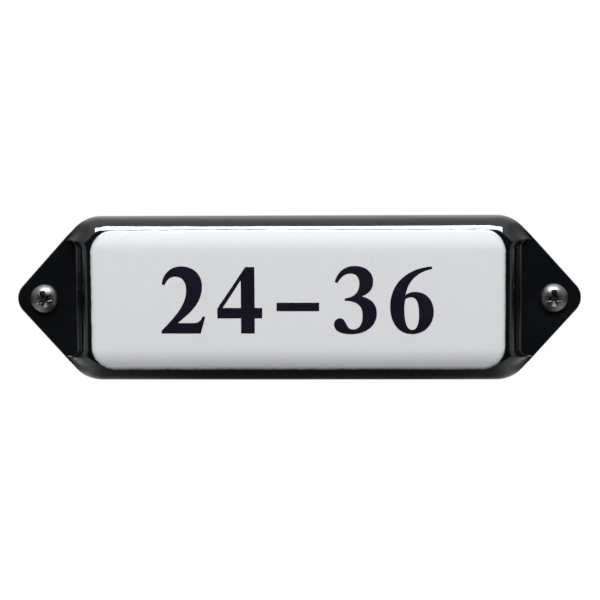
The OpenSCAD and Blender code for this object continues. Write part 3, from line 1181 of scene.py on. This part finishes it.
def make_room():
    """The walls round the studio: white to the camera, but to gloss dark in front and below."""
    world = bpy.data.worlds.new("room")
    bpy.context.scene.world = world
    world.use_nodes = True
    n = Nodes(world.node_tree)
    background = world.node_tree.nodes["Background"]
    way = n.node("ShaderNodeSeparateXYZ")
    n.link(n.node("ShaderNodeTexCoord").outputs["Generated"], way.inputs[0])
    x, y, z = way.outputs
    aside = n.math("ABSOLUTE", x)
    walls = n.ranged(y, *FRONT_Y, 0.0, WALL_LEVEL, smooth=True)
    low = n.ranged(z, *UNDER_Z, 0.0, UNDER_SHADE, smooth=True)
    under = n.math("MULTIPLY", low, n.ranged(aside, *UNDER_X, smooth=True))
    sides = n.ranged(aside, *SIDE_X, 1.0, SIDE_LEVEL, smooth=True)
    level = n.math("MULTIPLY", n.math("MULTIPLY", walls, sides), n.math("SUBTRACT", 1.0, under))
    level = n.math("MAXIMUM", level, LEAST_LEVEL)
    path = n.node("ShaderNodeLightPath")
    glossy = n.math("MULTIPLY", path.outputs["Is Glossy Ray"], 1 - DIFFUSE_LEVEL)
    level = n.math("MULTIPLY", level, n.math("ADD", glossy, DIFFUSE_LEVEL))
    seen = n.mix(path.outputs["Is Camera Ray"], level, (1, 1, 1, 1))
    background.inputs["Strength"].default_value = 1.0
    n.link(seen, background.inputs["Color"])


def make_backdrop():
    """A pale sweep: floor, cove and wall, far enough behind the plate to catch no shadow in view."""
    width, front_y, wall_y, floor_z, top_z, cove = 0.5, -0.35, 1.1, -0.42, 0.5, 0.25
    profile = [(front_y, floor_z), (wall_y - cove, floor_z)]
    for s, c in quarter_turn(COVE_N)[1:]:
        profile.append((wall_y - cove + cove * s, floor_z + cove * (1 - c)))
    profile.append((wall_y, top_z))
    points, faces = [], []
    for y, z in profile:
        points += [Vector((-width, y, z)), Vector((width, y, z))]
    for k in range(len(profile) - 1):
        faces.append((2 * k, 2 * k + 1, 2 * k + 3, 2 * k + 2))
    mesh = bpy.data.meshes.new("backdrop")
    mesh.from_pydata(points, [], faces)
    sweep = placed("backdrop", mesh)
    material = bpy.data.materials.new("backdrop_paper")
    material.use_nodes = True
    n = Nodes(material.node_tree)
    paper = material.node_tree.nodes["Principled BSDF"]
    paper.inputs["Base Color"].default_value = PAPER
    paper.inputs["Roughness"].default_value = PAPER_ROUGH
    path = n.node("ShaderNodeLightPath")
    seen = n.math("MAXIMUM", path.outputs["Is Camera Ray"], path.outputs["Is Glossy Ray"])
    seen = n.math("MAXIMUM", seen, path.outputs["Is Transmission Ray"])
    glow = n.node("ShaderNodeEmission")
    glow.inputs["Strength"].default_value = 1.0
    either = n.node("ShaderNodeMixShader")
    n.link(seen, either.inputs[0])
    n.link(paper.outputs[0], either.inputs[1])
    n.link(glow.outputs[0], either.inputs[2])
    n.link(either.outputs[0], material.node_tree.nodes["Material Output"].inputs["Surface"])
    mesh.materials.append(material)


def make_card(name, shade, corners, cover, axis):
    """A card that only reflections meet; it fades out from its middle along one axis."""
    mesh = bpy.data.meshes.new(name)
    mesh.from_pydata([Vector(p) for p in corners], [], [(0, 1, 2, 3)])
    card = placed(name, mesh)
    material = bpy.data.materials.new(name)
    material.use_nodes = True
    n = Nodes(material.node_tree)
    paper = material.node_tree.nodes["Principled BSDF"]
    paper.inputs["Base Color"].default_value = (shade, shade, shade, 1)
    paper.inputs["Specular IOR Level"].default_value = 0.0
    along = n.node("ShaderNodeSeparateXYZ")
    n.link(n.node("ShaderNodeTexCoord").outputs["Generated"], along.inputs[0])
    from_middle = n.math("ABSOLUTE", n.math("SUBTRACT", along.outputs[axis], 0.5))
    n.link(n.ranged(from_middle, *CARD_FADE, 0.0, cover, smooth=True), paper.inputs["Alpha"])
    mesh.materials.append(material)
    card.visible_camera = False
    card.visible_shadow = False
    card.visible_diffuse = False


def make_cards():
    """Under the plate and beside each ear, where they keep the black enamel dark."""
    reach, front, back, low = 0.14, -0.2, 0.5, -0.12
    ground = ((-reach, front, low), (reach, front, low), (reach, back, low), (-reach, back, low))
    make_card("card_under", shade=0.1, corners=ground, cover=1.0, axis=0)
    away, front, back, low, top = 0.085, -0.011, 0.012, -0.0135, 0.0095
    for name, x in (("card_left", -away), ("card_right", away)):
        upright = ((x, front, low), (x, back, low), (x, back, top), (x, front, top))
        make_card(name, shade=0.02, corners=upright, cover=0.85, axis=2)


make_camera()
make_room()
make_backdrop()
make_cards()
lamp("top_box", azimuth=0, elevation=55, distance=1.8, width=1.6, height=0.26, level=39.5)
bpy.context.scene.view_settings.view_transform = "Standard"
